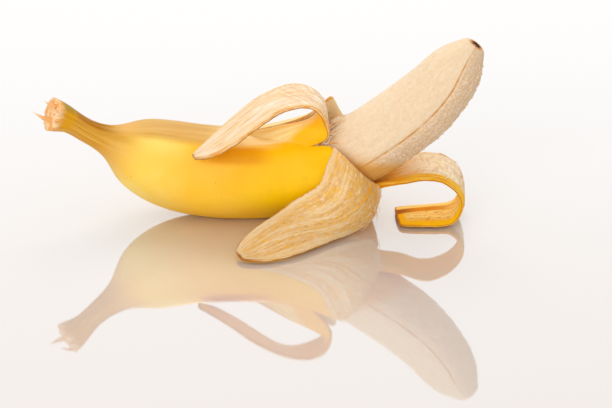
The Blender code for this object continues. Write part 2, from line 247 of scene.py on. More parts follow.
def axis_frame(along):
    """Point, direction, front and upward unit vectors of the axis at distances `along`."""
    along = np.atleast_1d(along)
    point = natural_spline(AXIS_KNOTS, AXIS, along)
    ahead = natural_spline(AXIS_KNOTS, AXIS, along + 0.05)
    behind = natural_spline(AXIS_KNOTS, AXIS, along - 0.05)
    direction = unit(ahead - behind)
    front = unit(np.array([0.0, -1.0, 0.0]) + direction[:, 1:2] * direction)
    upward = np.cross(front, direction)
    return point, direction, front, upward


def around_axis(along, angle, radius):
    """Points at angles (degrees) and radii round the axis, all arrays of one length."""
    point, _, front, upward = axis_frame(along)
    turn = np.radians(angle)[:, None]
    return point + np.asarray(radius)[:, None] * (np.cos(turn) * front + np.sin(turn) * upward)


def peel_radius(along, angle):
    """Outer radius of the peel, with its long ridges."""
    stations = np.array(PEEL_RADIUS)
    radius = np.maximum(natural_spline(stations[:, 0], stations[:, 1], along), 0.1)
    ridge = np.cos(np.radians(RIDGES * (np.asarray(angle) - RIDGE_ANGLE)))
    return radius * (1 + RIDGE_HEIGHT * ridge)


def cavity_radius(along, angle):
    """Inner radius of the peel, which closes round the end of the fruit."""
    depth = np.clip((along - CAVITY_START) / CAVITY_ROUNDING, 0.0, 1.0)
    closing = np.sqrt(1 - (1 - depth) ** 2)
    return (peel_radius(along, angle) - PEEL_THICKNESS) * closing


def tear_angles():
    return [tear[0] for tear in TEARS] + [TEARS[0][0] + 360]


def tear_distance(angle):
    """Distance from the stem at which the strips start, at an angle round the axis."""
    angles = tear_angles()
    distances = [tear[1] for tear in TEARS] + [TEARS[0][1]]
    wrapped = (np.asarray(angle, float) - angles[0]) % 360 + angles[0]
    i = np.clip(np.searchsorted(angles, wrapped, side="right") - 1, 0, len(TEARS) - 1)
    low = np.array(angles)[i]
    high = np.array(angles)[i + 1]
    share = smooth((wrapped - low) / (high - low))
    return np.array(distances)[i] * (1 - share) + np.array(distances)[i + 1] * share


def strip_sections(strip, low, high, across):
    """Rows of points from inside the body over the root to the tip, and the rows' knots."""
    angle = low + (high - low) * (across + 1) / 2
    edge = tear_distance(angle)
    rows = []
    for back in (ROOT_STEP, 0.0):
        radius = peel_radius(edge - back, angle) - PEEL_THICKNESS / 2
        rows.append(around_axis(edge - back, angle, radius))
    first, middle, second = (np.array(points) for points in zip(*strip))
    half_width = (second - first) / 2
    bow = middle - (first + second) / 2
    v = across[:, None]
    for i in range(len(strip)):
        rows.append(middle[i] + half_width[i] * v - bow[i] * v ** 2)
    root_angle = np.array([(low + high) / 2])
    root_distance = tear_distance(root_angle)
    root = around_axis(root_distance, root_angle, peel_radius(root_distance, root_angle))
    knots = chord_knots(np.concatenate([root, middle]), SPACING_POWER)
    return np.array(rows), np.concatenate([[-(ROOT_STEP ** SPACING_POWER)], knots])


def strip_width_factor(share, tip_width):
    """How much of its width a strip keeps at a share of its length: the tip is rounded."""
    x = np.clip((share - (1 - TIP_SHARE)) / TIP_SHARE, 0.0, 1.0)
    return 1 - (1 - tip_width) * (1 - np.sqrt(1 - 0.999 * x ** 2.2))


# Relief.

def lattice_noise(points, size, seed):
    """Smooth noise from -1 to 1 at an array of points; `size` is its feature size along x, y, z."""
    count = 32
    table = np.random.default_rng(seed).uniform(-1, 1, (count, count, count))
    scaled = np.asarray(points) / np.asarray(size, float)
    cell = np.floor(scaled).astype(int)
    part = smooth(scaled - cell)
    total = np.zeros(scaled.shape[:-1])
    for corner in itertools.product((0, 1), repeat=3):
        weight = np.prod(np.where(corner, part, 1 - part), axis=-1)
        index = (cell + corner) % count
        total += weight * table[index[..., 0], index[..., 1], index[..., 2]]
    return total


def unpeeled(along, angle, inward=1.0):
    """Where a point lay on the whole fruit, straightened along x: streaks follow x."""
    turn = np.radians(angle)
    radius = GRAIN_RADIUS * inward
    return np.stack([along, radius * np.cos(turn), radius * np.sin(turn)], axis=-1)


def skin_relief(along, angle):
    """Height of the skin above the drawn surface: shallow dents and the neck's long grooves."""
    place = unpeeled(along, angle)
    dents = 0.22 * lattice_noise(place, (18, 11, 11), 3) + 0.05 * lattice_noise(place, (5, 4, 4), 4)
    neck = smooth((38 - along) / 16)
    grooves = 0.42 * lattice_noise(place, (26, 3.4, 3.4), 5)
    grooves += 0.16 * lattice_noise(place, (12, 1.6, 1.6), 6)
    return dents * smooth((along - 20) / 25) + grooves * neck


def skin_radius(along, angle):
    return peel_radius(along, angle) + skin_relief(along, angle)


def pith_relief(along, angle, blotches, bend):
    """Height of the inside of the peel: fibres along it, a coarse net, creases over a bend."""
    place = unpeeled(along, angle)
    fibres = 0.06 * lattice_noise(place, (26, 1.25, 1.25), 11)
    fibres += 0.05 * lattice_noise(place, (7, 0.6, 0.6), 12)
    fibres *= 1 - 0.6 * blotches
    net = 0.06 * lattice_noise(place, (1.6, 1.1, 1.1), 13) * blotches
    creases = 0.16 * lattice_noise(place, (1.1, 2.2, 2.2), 14) * bend
    return fibres + net + creases


# Meshes.

class Shell:
    """Collects points, faces and per-point values of one closed mesh."""

    VALUES = ("along", "pale", "under", "depth", *STRIP_VALUES)

    def __init__(self):
        self.points = []
        self.places = []
        self.values = {name: [] for name in self.VALUES}
        self.faces = []
        self.count = 0

    def add(self, points, along, angle, inward=1.0, **values):
        """Adds a grid of points and returns their numbers in the same arrangement."""
        points = np.asarray(points, float)
        shape = points.shape[:-1]
        along = np.broadcast_to(along, shape)
        angle = np.broadcast_to(angle, shape)
        self.points.append(points.reshape(-1, 3))
        self.places.append(unpeeled(along, angle, inward).reshape(-1, 3))
        values["along"] = along
        values["pale"] = smooth((angle - 48) / 14) * smooth((150 - angle) / 24)
        yellow_from = 96.0 + 1.1 * np.clip(angle - 58.0, 0.0, 34.0)
        values["pale"] = values["pale"] * (1 - 0.95 * smooth((along - yellow_from) / 12))
        # under: the band just below the ridge at 57 degrees, where shade is painted on the skin.
        values["under"] = smooth((angle - 26) / 14) * smooth((58 - angle) / 8)
        for name in self.VALUES:
            value = values.get(name, FAR if name in ("edge", "low") else 0.0)
            self.values[name].append(np.broadcast_to(value, shape).reshape(-1))
        numbers = np.arange(self.count, self.count + self.points[-1].shape[0]).reshape(shape)
        self.count += numbers.size
        return numbers

    def sheet(self, grid, flip=False):
        """Faces over a grid of point numbers, rows along and columns around."""
        quads = np.stack([grid[:-1, :-1], grid[1:, :-1], grid[1:, 1:], grid[:-1, 1:]], axis=-1)
        quads = quads.reshape(-1, 4)
        self.faces.extend((quads[:, ::-1] if flip else quads).tolist())

    def fan(self, ring, centre, flip=False):
        for j in range(len(ring) - 1):
            face = [int(centre), int(ring[j]), int(ring[j + 1])]
            self.faces.append(face[::-1] if flip else face)

    def build(self, name, material, shift):
        points = (np.concatenate(self.points) + shift) * MM
        mesh = bpy.data.meshes.new(name)
        mesh.from_pydata(points.tolist(), [], self.faces)
        mesh.validate()
        place = mesh.attributes.new("place", "FLOAT_VECTOR", "POINT")
        place.data.foreach_set("vector", np.concatenate(self.places).astype(np.float32).ravel())
        store_values(mesh, self.values)
        close_seams(mesh)
        return add_model(name, mesh, material)


def store_values(mesh, values):
    """Stores lists of per-point values on a mesh under their names."""
    for name, chunks in values.items():
        value = mesh.attributes.new(name, "FLOAT", "POINT")
        value.data.foreach_set("value", np.concatenate(chunks).astype(np.float32))


def close_seams(mesh):
    """Joins points that lie in one place, so that neighbouring grids make one closed surface."""
    work = bmesh.new()
    work.from_mesh(mesh)
    bmesh.ops.remove_doubles(work, verts=work.verts, dist=1e-6)
    work.to_mesh(mesh)
    work.free()


def add_object(name, data):
    item = bpy.data.objects.new(name, data)
    bpy.context.scene.collection.objects.link(item)
    return item


def add_model(name, mesh, material):
    mesh.shade_smooth()
    mesh.materials.append(material)
    return add_object(name, mesh)


def closed_ring(grid):
    """A grid whose first column is repeated at its end."""
    return np.concatenate([grid, grid[:, :1]], axis=1)


def across_values(count):
    """Positions from -1 to 1 across a strip, closer together towards its edges."""
    even = np.linspace(-1.0, 1.0, count + 1)
    return 0.62 * even + 0.38 * np.sin(even * math.pi / 2)


def column_angles():
    """Angles of the body's columns, and the number of the column at each tear."""
    angles = tear_angles()
    columns = []
    for i, count in enumerate(COLUMNS):
        share = (across_values(count)[:-1] + 1) / 2
        columns.extend(angles[i] + (angles[i + 1] - angles[i]) * share)
    return np.array(columns), np.concatenate([[0], np.cumsum(COLUMNS)])


def leaning(along, angle):
    """Distances near the broken stem, drawn out along its upper side."""
    upper = (1 + np.sin(np.radians(angle))) / 2
    return along - STEM_LEAN * upper * np.clip(1 - along / STEM_LEAN_REACH, 0.0, 1.0)


def ring_distances(start, rows_level, rows_torn, angle):
    """Distances from the stem of each ring's points: square rings, then slanted ones."""
    level = start + (LEVEL_START - start) * np.linspace(0, 1, rows_level)
    edge = tear_distance(angle)
    rows = [leaning(distance, angle) for distance in level]
    for share in np.linspace(0, 1, rows_torn + 1)[1:]:
        rows.append(LEVEL_START + (edge - LEVEL_START) * share)
    return np.array(rows)


def edge_nearness(along, angle):
    """Distance in millimetres from the body's skin to the nearest torn edge."""
    nearest = np.full(np.shape(along), FAR)
    for tear_angle, tear_along in TEARS:
        turn = np.radians((angle - tear_angle + 180) % 360 - 180) * GRAIN_RADIUS
        nearest = np.minimum(nearest, np.hypot(turn, np.maximum(tear_along - along, 0.0)))
    return nearest


def ring_points(distances, angle, radius_of):
    return np.array([around_axis(along, angle, radius_of(along, angle)) for along in distances])


def press_flat(points, height):
    """Keeps points from sinking below a height."""
    points[..., 2] = np.maximum(points[..., 2], height)
    return points


def add_stump(shell, ring, angle):
    """The broken, fibrous face at the end of the stem."""
    rings = [ring]
    zero = np.zeros(len(angle))
    for inward in STEM_FACE:
        place = unpeeled(zero, angle, inward)
        rough = 0.5 * lattice_noise(place, (5, 24, 9), 21) + 0.12 * lattice_noise(place, (5, 9, 5), 22)
        along = leaning(zero, angle) * inward - 1.2 * (1 - inward ** 2)
        along = along + rough * smooth((1 - inward) / 0.12)
        points = around_axis(along, angle, peel_radius(zero, angle) * inward)
        rings.append(shell.add(points, -rough, angle, inward=inward, depth=0.5))
    grid = closed_ring(np.array(rings))
    shell.sheet(grid, flip=True)
    middle = axis_frame(-1.5)[0]
    centre = shell.add(middle, 0.0, 0.0, inward=0.0, depth=0.5)[0]
    shell.fan(grid[-1], centre)


def strip_grids(strip, low, high, columns, tip_width, seed):
    """Middle surface of one strip with its normals, thickness and per-point values."""
    across = across_values(columns)
    width = np.linalg.norm(np.array(strip[2][2]) - np.array(strip[2][0]))
    shares = np.linspace(0.0, 1.0, STRIP_ROWS + 1)
    rows = []
    for share in shares:
        torn_at = np.stack([0 * across + share * 70, np.sign(across) * 9, 0 * across], axis=-1)
        ragged = 0.2 * lattice_noise(torn_at, (3.0, 3, 3), seed)
        ragged += 0.13 * lattice_noise(torn_at, (0.9, 3, 3), seed + 1)
        spread = across * strip_width_factor(share, tip_width)
        spread *= 1 - 2 * TEAR_GAP / width * smooth(share / TEAR_GAP_SHARE)
        spread *= 1 + 2 * ragged / width * np.abs(across) ** 6 * smooth(share * 14)
        sections, knots = strip_sections(strip, low, high, spread)
        rows.append(natural_spline(knots, sections, share * knots[-1])[0])
    surface = np.array(rows)
    normal = unit(np.cross(np.gradient(surface, axis=0), np.gradient(surface, axis=1)))
    share = np.broadcast_to(shares[:, None], surface.shape[:2])
    thickness = PEEL_THICKNESS + (TIP_THICKNESS - PEEL_THICKNESS) * share
    thickness = thickness * (1 - EDGE_THINNING * smooth(share * 8) * np.abs(across) ** 6)

    step = np.linalg.norm(np.diff(surface, axis=0), axis=-1)
    length = np.concatenate([np.zeros((1, columns + 1)), np.cumsum(step, axis=0)])
    angle = np.broadcast_to(low + (high - low) * (across + 1) / 2, length.shape)
    side_step = np.linalg.norm(np.diff(surface, axis=1), axis=-1)
    side = np.concatenate([np.zeros((STRIP_ROWS + 1, 1)), np.cumsum(side_step, axis=1)], axis=1)
    turn = np.arccos(np.clip((normal[2:] * normal[:-2]).sum(-1), -1, 1)) / (step[1:] + step[:-1])
    return {
        "surface": surface,
        "normal": normal,
        "thickness": thickness,
        "along": tear_distance(angle) + length,
        "angle": angle,
        "edge": np.minimum(np.minimum(side, side[:, -1:] - side), length[-1] - length),
        "root": length,
        "low": side,
        "tip": share,
        "bend": smooth(np.concatenate([turn[:1], turn, turn[-1:]]) * 9),
    }


def rim(grid):
    """The border of a strip's grid: down its first column, across its tip, up its last column."""
    return np.concatenate([grid[:, 0], grid[-1, 1:], grid[-2::-1, -1]])


def outward_directions(surface):
    """Directions that point out of a strip's surface past its border."""
    outward = np.zeros_like(surface)
    sideways = unit(np.gradient(surface, axis=1))
    outward[:, 0] -= sideways[:, 0]
    outward[:, -1] += sideways[:, -1]
    outward[-1] += unit(np.gradient(surface, axis=0))[-1]
    outward[0] = 0.0
    return unit(outward)


def add_wall(shell, outer, inner, outer_points, inner_points, grids):
    """The torn thickness of the peel between its skin and its inside, round one strip."""
    outward = rim(outward_directions(grids["surface"]))
    bulge = 0.12 * rim(grids["thickness"])[:, None] * outward
    columns = [rim(outer)]
    for k in range(1, WALL_ROWS + 1):
        depth = k / (WALL_ROWS + 1)
        points = rim(outer_points) * (1 - depth) + rim(inner_points) * depth
        points = press_flat(points + bulge * math.sin(depth * math.pi), WALL_CLEARANCE * depth)
        columns.append(shell.add(points, rim(grids["along"]), rim(grids["angle"]), depth=depth,
                                 **{name: rim(grids[name]) for name in STRIP_VALUES}))
    columns.append(rim(inner))
    shell.sheet(np.stack(columns, axis=1), flip=True)


def add_strip(shell, i, skin, inside, skin_points, inside_points, columns):
    """One folded-back strip, joined to the last rings of the body's skin and inside."""
    angles = tear_angles()
    grids = strip_grids(STRIPS[i], angles[i], angles[i + 1], COLUMNS[i], TIP_WIDTHS[i], 31 + 2 * i)
    share = (across_values(COLUMNS[i]) + 1) / 2
    along, angle = grids["along"], grids["angle"]
    low_stain, high_stain = STRIP_STAINS[i]
    grids["stain"] = np.broadcast_to(low_stain * (1 - share) + high_stain * share, along.shape)
    grids["root"] = grids["root"] / STRIP_AMBER_AND_SHADE[i]
    grids["bend"] = grids["bend"] * STRIP_CREASES[i]
    for name, amounts in STRIP_TRAITS.items():
        grids[name] = np.full(along.shape, amounts[i])
    half = grids["thickness"] / 2
    lift = 0.6 * skin_relief(along, angle)
    dip = pith_relief(along, angle, grids["blotch"], grids["bend"]) * smooth(grids["tip"] * 20)
    outer_points = grids["surface"] + grids["normal"] * (half + lift)[..., None]
    inner_points = grids["surface"] - grids["normal"] * (half + dip)[..., None]
    outer_points[0] = skin_points[columns]
    inner_points[0] = inside_points[columns]
    press_flat(outer_points, 0.0)
    press_flat(inner_points[1:], LEAST_THICKNESS)
    values = {name: grids[name][1:] for name in STRIP_VALUES}
    outer = shell.add(outer_points[1:], along[1:], angle[1:], depth=0.0, **values)
    outer = np.vstack([skin[columns], outer])
    inner = shell.add(inner_points[1:], along[1:], angle[1:], depth=1.0, **values)
    inner = np.vstack([inside[columns], inner])
    shell.sheet(outer)
    shell.sheet(inner, flip=True)
    add_wall(shell, outer, inner, outer_points, inner_points, grids)


def make_peel(material, shift):
    """The whole peel as one closed shell: skin, broken stem, inside and the four strips."""
    shell = Shell()
    angle, tear_columns = column_angles()
    distances = ring_distances(0.0, LEVEL_ROWS, TORN_ROWS, angle)
    skin_points = press_flat(ring_points(distances, angle, skin_radius), 0.0)
    skin = shell.add(skin_points, distances, angle, edge=edge_nearness(distances, angle))
    shell.sheet(closed_ring(skin))
    add_stump(shell, skin[0], angle)

    distances = ring_distances(CAVITY_START + 0.6, CAVITY_ROWS, TORN_ROWS, angle)
    inside_points = ring_points(distances, angle, cavity_radius)
    inside = shell.add(inside_points, distances, angle, depth=1.0,
                       edge=edge_nearness(distances, angle))
    shell.sheet(closed_ring(inside), flip=True)
    end = shell.add(axis_frame(CAVITY_START)[0], CAVITY_START, 0.0, depth=1.0)[0]
    shell.fan(closed_ring(inside)[0], end, flip=True)

    for i in range(len(STRIPS)):
        columns = np.arange(tear_columns[i], tear_columns[i + 1] + 1) % len(angle)
        add_strip(shell, i, skin[-1], inside[-1], skin_points[-1], inside_points[-1], columns)
    return shell.build("banana_peel", material, shift)


# The fruit.

def fruit_radius(along, angle):
    """Radius of the fruit: its soft facets, seams and fine lengthwise lines."""
    stations = np.array(FRUIT_RADIUS)
    back = np.clip(AXIS_LENGTH - along, 0.0, stations[-1, 0])
    radius = natural_spline(np.sqrt(stations[:, 0]), stations[:, 1], np.sqrt(back))
    body = smooth(back / 10)
    place = unpeeled(along, angle)
    radius = radius * (1 + 0.014 * body * np.cos(np.radians(FRUIT_FACETS * (angle - SEAM_ANGLE))))
    for turn, depth in ((0.0, SEAM_DEPTH), (120.0, 0.5 * SEAM_DEPTH), (240.0, 0.5 * SEAM_DEPTH)):
        off = seam_offset(along, angle - turn)
        uneven = 0.8 + 0.4 * lattice_noise(place, (5, 40, 40), 61)
        radius -= depth * uneven * np.exp(-(off / SEAM_WIDTH) ** 2) * smooth(back / 6)
    low_side = lower_side(along, angle)
    lines = lattice_noise(place, (24, 1.5, 1.5), 62)
    bumps = lattice_noise(place, (2.6, 2.0, 2.0), 63)
    radius += (0.025 + 0.09 * low_side) * lines * body
    radius += (0.05 + 0.2 * low_side) * bumps * body
    radius += 0.25 * lattice_noise(place, (14, 9, 9), 64) * body
    radius -= TIP_PIT * smooth((TIP_SPOT - back) / TIP_SPOT)
    inside = cavity_radius(along - FRUIT_GAP, angle) - FRUIT_GAP
    return np.clip(radius, 0.05, np.maximum(inside, 0.05))


def seam_turn(along, angle):
    """Degrees from the seam, from -180 to 180 and positive above it; it turns up at the tip."""
    near_tip = smooth((along - AXIS_LENGTH + SEAM_TURN_REACH) / SEAM_TURN_REACH)
    return (angle - (SEAM_ANGLE + SEAM_TURN * near_tip) + 180) % 360 - 180


def seam_offset(along, angle):
    """Distance in millimetres round the fruit from the seam, positive above it."""
    return np.radians(seam_turn(along, angle)) * FRUIT_TURN_RADIUS


def lower_side(along, angle):
    """1 on the rougher facet below the seam and round the underside, 0 above."""
    turn = seam_turn(along, angle)
    return smooth(-turn / 5) * smooth((turn + 170) / 20)


def make_fruit(material, shift):
    """The bare fruit.

    In its mesh values, depth is the distance from the seam, edge the distance from the tip, tip
    how far a point is on the rough lower side, and stain how far it is past the torn lines.
    """
    shell = Shell()
    angle = np.linspace(-60, 300, FRUIT_COLUMNS, endpoint=False)
    start = CAVITY_START + 2 * FRUIT_GAP
    share = (1 - np.cos(np.linspace(0.03, 1, FRUIT_ROWS) * math.pi)) / 2
    share = 0.5 * share + 0.5 * np.linspace(0, 1, FRUIT_ROWS)
    distances = start + 0.5 + (AXIS_LENGTH - 0.08 - start - 0.5) * share
    distances = np.repeat(distances[:, None], FRUIT_COLUMNS, axis=1)
    points = ring_points(distances, angle, fruit_radius)
    # Less of the base's amber browning and painted shade on the upper side.
    upper = 0.05 * smooth((angle + 8) / 6) + 0.35 * smooth((angle - 24) / 24)
    upper = upper * smooth((250 - angle) / 20)
    grid = shell.add(points, distances, angle, depth=seam_offset(distances, angle),
                     edge=AXIS_LENGTH - distances, tip=lower_side(distances, angle),
                     stain=np.clip((distances - tear_distance(angle)) / 20, -1, 1) + upper)
    grid = closed_ring(grid)
    shell.sheet(grid)
    shell.fan(grid[0], shell.add(axis_frame(start)[0], start, 0.0)[0])
    tip_point = axis_frame(AXIS_LENGTH - TIP_PIT)[0]
    shell.fan(grid[-1], shell.add(tip_point, AXIS_LENGTH, 0.0, edge=0.0, stain=1.0)[0], flip=True)
    return shell.build("banana_flesh", material, shift)


# Loose fibres.

def strand_points(path, thick, thin):
    """A tapered round strand along a path: points, faces and each point's share of its length."""
    path = np.asarray(path, float)
    knots = chord_knots(path)
    count = max(8, int(knots[-1] * 4))
    share = np.linspace(0, 1, count)
    middle = natural_spline(knots, path, share * knots[-1])
    direction = unit(np.gradient(middle, axis=0))
    first = unit(np.cross(direction, [0.31, 0.52, 0.8]))
    second = np.cross(direction, first)
    turn = np.linspace(0, 2 * math.pi, STRAND_SIDES, endpoint=False)
    turn = turn[None, :, None]
    ring = np.cos(turn) * first[:, None] + np.sin(turn) * second[:, None]
    radius = thick + (thin - thick) * share ** 1.3
    points = (middle[:, None] + ring * radius[:, None, None]).reshape(-1, 3)
    last = (count - 1) * STRAND_SIDES
    faces = [list(range(STRAND_SIDES))[::-1], list(range(last, last + STRAND_SIDES))]
    for row, side in itertools.product(range(count - 1), range(STRAND_SIDES)):
        low, high = row * STRAND_SIDES, (row + 1) * STRAND_SIDES
        after = (side + 1) % STRAND_SIDES
        faces.append([low + side, low + after, high + after, high + side])
    return points, faces, np.repeat(share, STRAND_SIDES)


def make_strands(name, strands, material, shift):
    """One model of many strands, each given as (path, thickness at its root, at its end)."""
    points, faces, shares, tones = [], [], [], []
    count = 0
    for number, (path, thick, thin) in enumerate(strands):
        strand, strand_faces, share = strand_points(path, thick, thin)
        points.append((strand + shift) * MM)
        faces.extend([[corner + count for corner in face] for face in strand_faces])
        shares.append(share)
        tones.append(np.full(len(share), number * 0.618 % 1.0))
        count += len(strand)
    mesh = bpy.data.meshes.new(name)
    mesh.from_pydata(np.concatenate(points).tolist(), [], faces)
    store_values(mesh, {"share": shares, "tone": tones})
    return add_model(name, mesh, material)


def stem_strands():
    """Torn fibres that stand out of the broken stem; one long splinter points up and away."""
    draw = np.random.default_rng(7).uniform
    centre, direction, front, upward = (part[0] for part in axis_frame(0.0))
    strands = []
    for number in range(18):
        angle = math.radians(number * 20 + draw(-9, 9))
        radius = 6.4 * draw(0.72, 0.97)
        side = math.cos(angle) * front + math.sin(angle) * upward
        start = centre + side * radius - direction * (STEM_LEAN * (1 + math.sin(angle)) / 2 - 0.9)
        reach = draw(1.0, 2.1)
        bend = draw(-0.5, 0.5, 3)
        middle = start - direction * reach * 0.6 + side * 0.15
        end = start - direction * reach + side * 0.3 + bend
        strands.append(([start, middle, end], draw(0.5, 0.9), 0.15))
    root = centre + front * 3.6 - upward * 1.4
    for offset, end, thick in ((0.0, (-107.6, -9.0, 51.8), 1.15), (0.8, (-106.2, -9.2, 50.6), 0.8)):
        start = root - upward * offset
        strands.append(([start, start * 0.55 + np.array(end) * 0.45 - upward * 0.3, end], thick, 0.12))
    root = centre + front * 2.5 + upward * 4.4 - direction * 1.2
    end = np.array([-103.4, -6.0, 55.2])
    strands.append(([root, root * 0.5 + end * 0.5, end], 0.7, 0.12))
    return strands


def fruit_strands():
    """Pale strings lying on the fruit where it leaves the peel, and short fuzz below its seam."""
    draw = np.random.default_rng(19).uniform
    strands = []
    for number in range(34):
        angle = 50.0 + number * 2.2 + draw(-2, 2)
        start = draw(124.0, 130.0)
        length = draw(4.0, 10.0)
        drift = draw(-12, 16)
        share = np.linspace(0, 1, 5)
        along = start + length * share
        angles = angle + drift * share + draw(-3, 3, 5)
        lift = np.array([0.2, 0.5, 0.7, 0.4, 0.1]) + draw(0, 0.6, 5)
        path = around_axis(along, angles, fruit_radius(along, angles) + lift)
        strands.append((path, draw(0.28, 0.5), 0.12))
    for number in range(150):
        along = draw(148.0, 196.0)
        angle = draw(-95.0, -14.0)
        reach = draw(0.3, 1.1)
        drift = draw(-3.0, 3.0)
        alongs = along + reach * np.array([0.0, 0.6, 1.2])
        angles = angle + drift * np.array([0.0, 0.5, 1.0])
        lift = np.array([-0.1, 0.3, 0.5]) * reach
        path = around_axis(alongs, angles, fruit_radius(alongs, angles) + lift)
        strands.append((path, 0.17, 0.06))
    return strands


def strip_place(i, share, across, lift):
    """A point on the inside of a strip at shares of its length and half width, lifted off it."""
    angles = tear_angles()
    spread = np.array([across, across + 0.02])
    points = []
    for at in (share, share + 0.005):
        sections, knots = strip_sections(STRIPS[i], angles[i], angles[i + 1], spread)
        points.append(natural_spline(knots, sections, at * knots[-1])[0])
    points = np.array(points)
    normal = unit(np.cross(points[1, 0] - points[0, 0], points[0, 1] - points[0, 0]))
    thickness = PEEL_THICKNESS + (TIP_THICKNESS - PEEL_THICKNESS) * share
    return points[0, 0] - normal * (thickness / 2 + lift)


# Hairs on the strips: the strip's number, how many, their shares of its length and half width.
STRIP_HAIRS = (
    (1, 12, (0.1, 0.36), (0.1, 0.95)),
    (0, 10, (0.08, 0.4), (-0.98, -0.7)),
    (3, 8, (0.1, 0.5), (-0.95, 0.9)),
    (2, 16, (0.08, 0.26), (-0.98, -0.2)),
)


def strip_strands():
    """Short hairs over the bends of the strips."""
    draw = np.random.default_rng(23).uniform
    strands = []
    for i, count, shares, sides in STRIP_HAIRS:
        for number in range(count):
            share = draw(*shares)
            across = draw(*sides)
            step = draw(0.008, 0.02)
            drift = draw(-0.25, 0.25)
            path = [strip_place(i, share + step * k, across + drift * k / 3, lift)
                    for k, lift in enumerate((0.0, 0.12, 0.15, 0.0))]
            strands.append((path, draw(0.12, 0.22), 0.06))
    return strands


def front_thread():
    """One long yellow thread across the bend of the front strip."""
    places = ((0.16, -0.5), (0.21, -0.4), (0.27, -0.26), (0.32, -0.18), (0.38, -0.12))
    lifts = (0.0, 0.25, 0.2, 0.25, 0.0)
    path = [strip_place(0, share, across, lift) for (share, across), lift in zip(places, lifts)]
    return [(path, 0.4, 0.2)]


# Materials. Colours are given as three screen values from 0 to 255.

def srgb(red, green, blue):
    """A linear colour from screen values of 0 to 255."""
    values = np.array([red, green, blue]) / 255
    linear = np.where(values <= 0.04045, values / 12.92, ((values + 0.055) / 1.055) ** 2.4)
    return (*linear.tolist(), 1.0)


class Look:
    """A node material whose parts are made by short calls.

    Where a part takes a value, a text stands for the value of that name on the mesh.
    """

    def __init__(self, name):
        self.material = bpy.data.materials.new(name)
        self.material.use_nodes = True
        self.tree = self.material.node_tree

    def node(self, kind, inputs, **settings):
        node = self.tree.nodes.new(kind)
        for name, value in settings.items():
            setattr(node, name, value)
        for socket, value in inputs.items():
            self.feed(node.inputs[socket], value)
        return node

    def feed(self, socket, value):
        if isinstance(value, str):
            value = self.node("ShaderNodeAttribute", {}, attribute_name=value).outputs["Fac"]
        if isinstance(value, bpy.types.NodeSocket):
            self.tree.links.new(value, socket)
        else:
            socket.default_value = srgb(*value) if socket.type == "RGBA" else value

    def texture(self, vector, scale, detail, roughness=0.5):
        inputs = {"Vector": vector, "Scale": scale, "Detail": detail, "Roughness": roughness}
        return self.node("ShaderNodeTexNoise", inputs).outputs["Fac"]

    def noise(self, along, around, scale, detail=2, roughness=0.5):
        """Noise over the unpeeled place in millimetres, stretched by the first two factors."""
        place = self.node("ShaderNodeAttribute", {}, attribute_name="place").outputs["Vector"]
        stretch = self.node("ShaderNodeVectorMath", {0: place, 1: (along, around, around)},
                            operation="MULTIPLY")
        return self.texture(stretch.outputs["Vector"], scale, detail, roughness)

    def span(self, value, low, high, most=1, least=0):
        """value's way from low to high, eased and clamped, as a number from least to most."""
        inputs = {"Value": value, "From Min": low, "From Max": high, "To Min": least, "To Max": most}
        return self.node("ShaderNodeMapRange", inputs, interpolation_type="SMOOTHSTEP").outputs["Result"]

    def calc(self, operation, *values):
        return self.node("ShaderNodeMath", dict(enumerate(values)), operation=operation).outputs["Value"]

    def times(self, product, *values):
        for value in values:
            product = self.calc("MULTIPLY", product, value)
        return product

    def plus(self, first, second):
        return self.calc("ADD", first, second)

    def line(self, value, slope, start):
        """start plus slope times value."""
        return self.calc("MULTIPLY_ADD", value, slope, start)

    def mix(self, share, first, second):
        inputs = {"Factor": share, 6: first, 7: second}
        return self.node("ShaderNodeMix", inputs, data_type="RGBA").outputs[2]

    def tone(self, value, low, high, first, second):
        """A colour that goes from first to second as value goes from low to high."""
        return self.mix(self.span(value, low, high), first, second)

    def layers(self, color, *tints):
        """A colour with others laid over it in turn, each given after its share."""
        for share, tint in tints:
            color = self.mix(share, color, tint)
        return color

    def bump(self, height, distance):
        inputs = {"Height": height, "Distance": distance, "Strength": 1.0}
        return self.node("ShaderNodeBump", inputs).outputs["Normal"]

    def finish(self, inputs):
        shader = self.tree.nodes["Principled BSDF"]
        for name, value in inputs.items():
            self.feed(shader.inputs[name], value)
        return self.material

    def soft_finish(self, color, roughness, normal, subsurface, radius, specular):
        """A surface that light enters; radius is how far each colour gets, in metres."""
        return self.finish({
            "Base Color": color, "Roughness": roughness, "Normal": normal,
            "Subsurface Weight": subsurface, "Subsurface Radius": radius,
            "Subsurface Scale": 1.0, "Specular IOR Level": specular,
        })


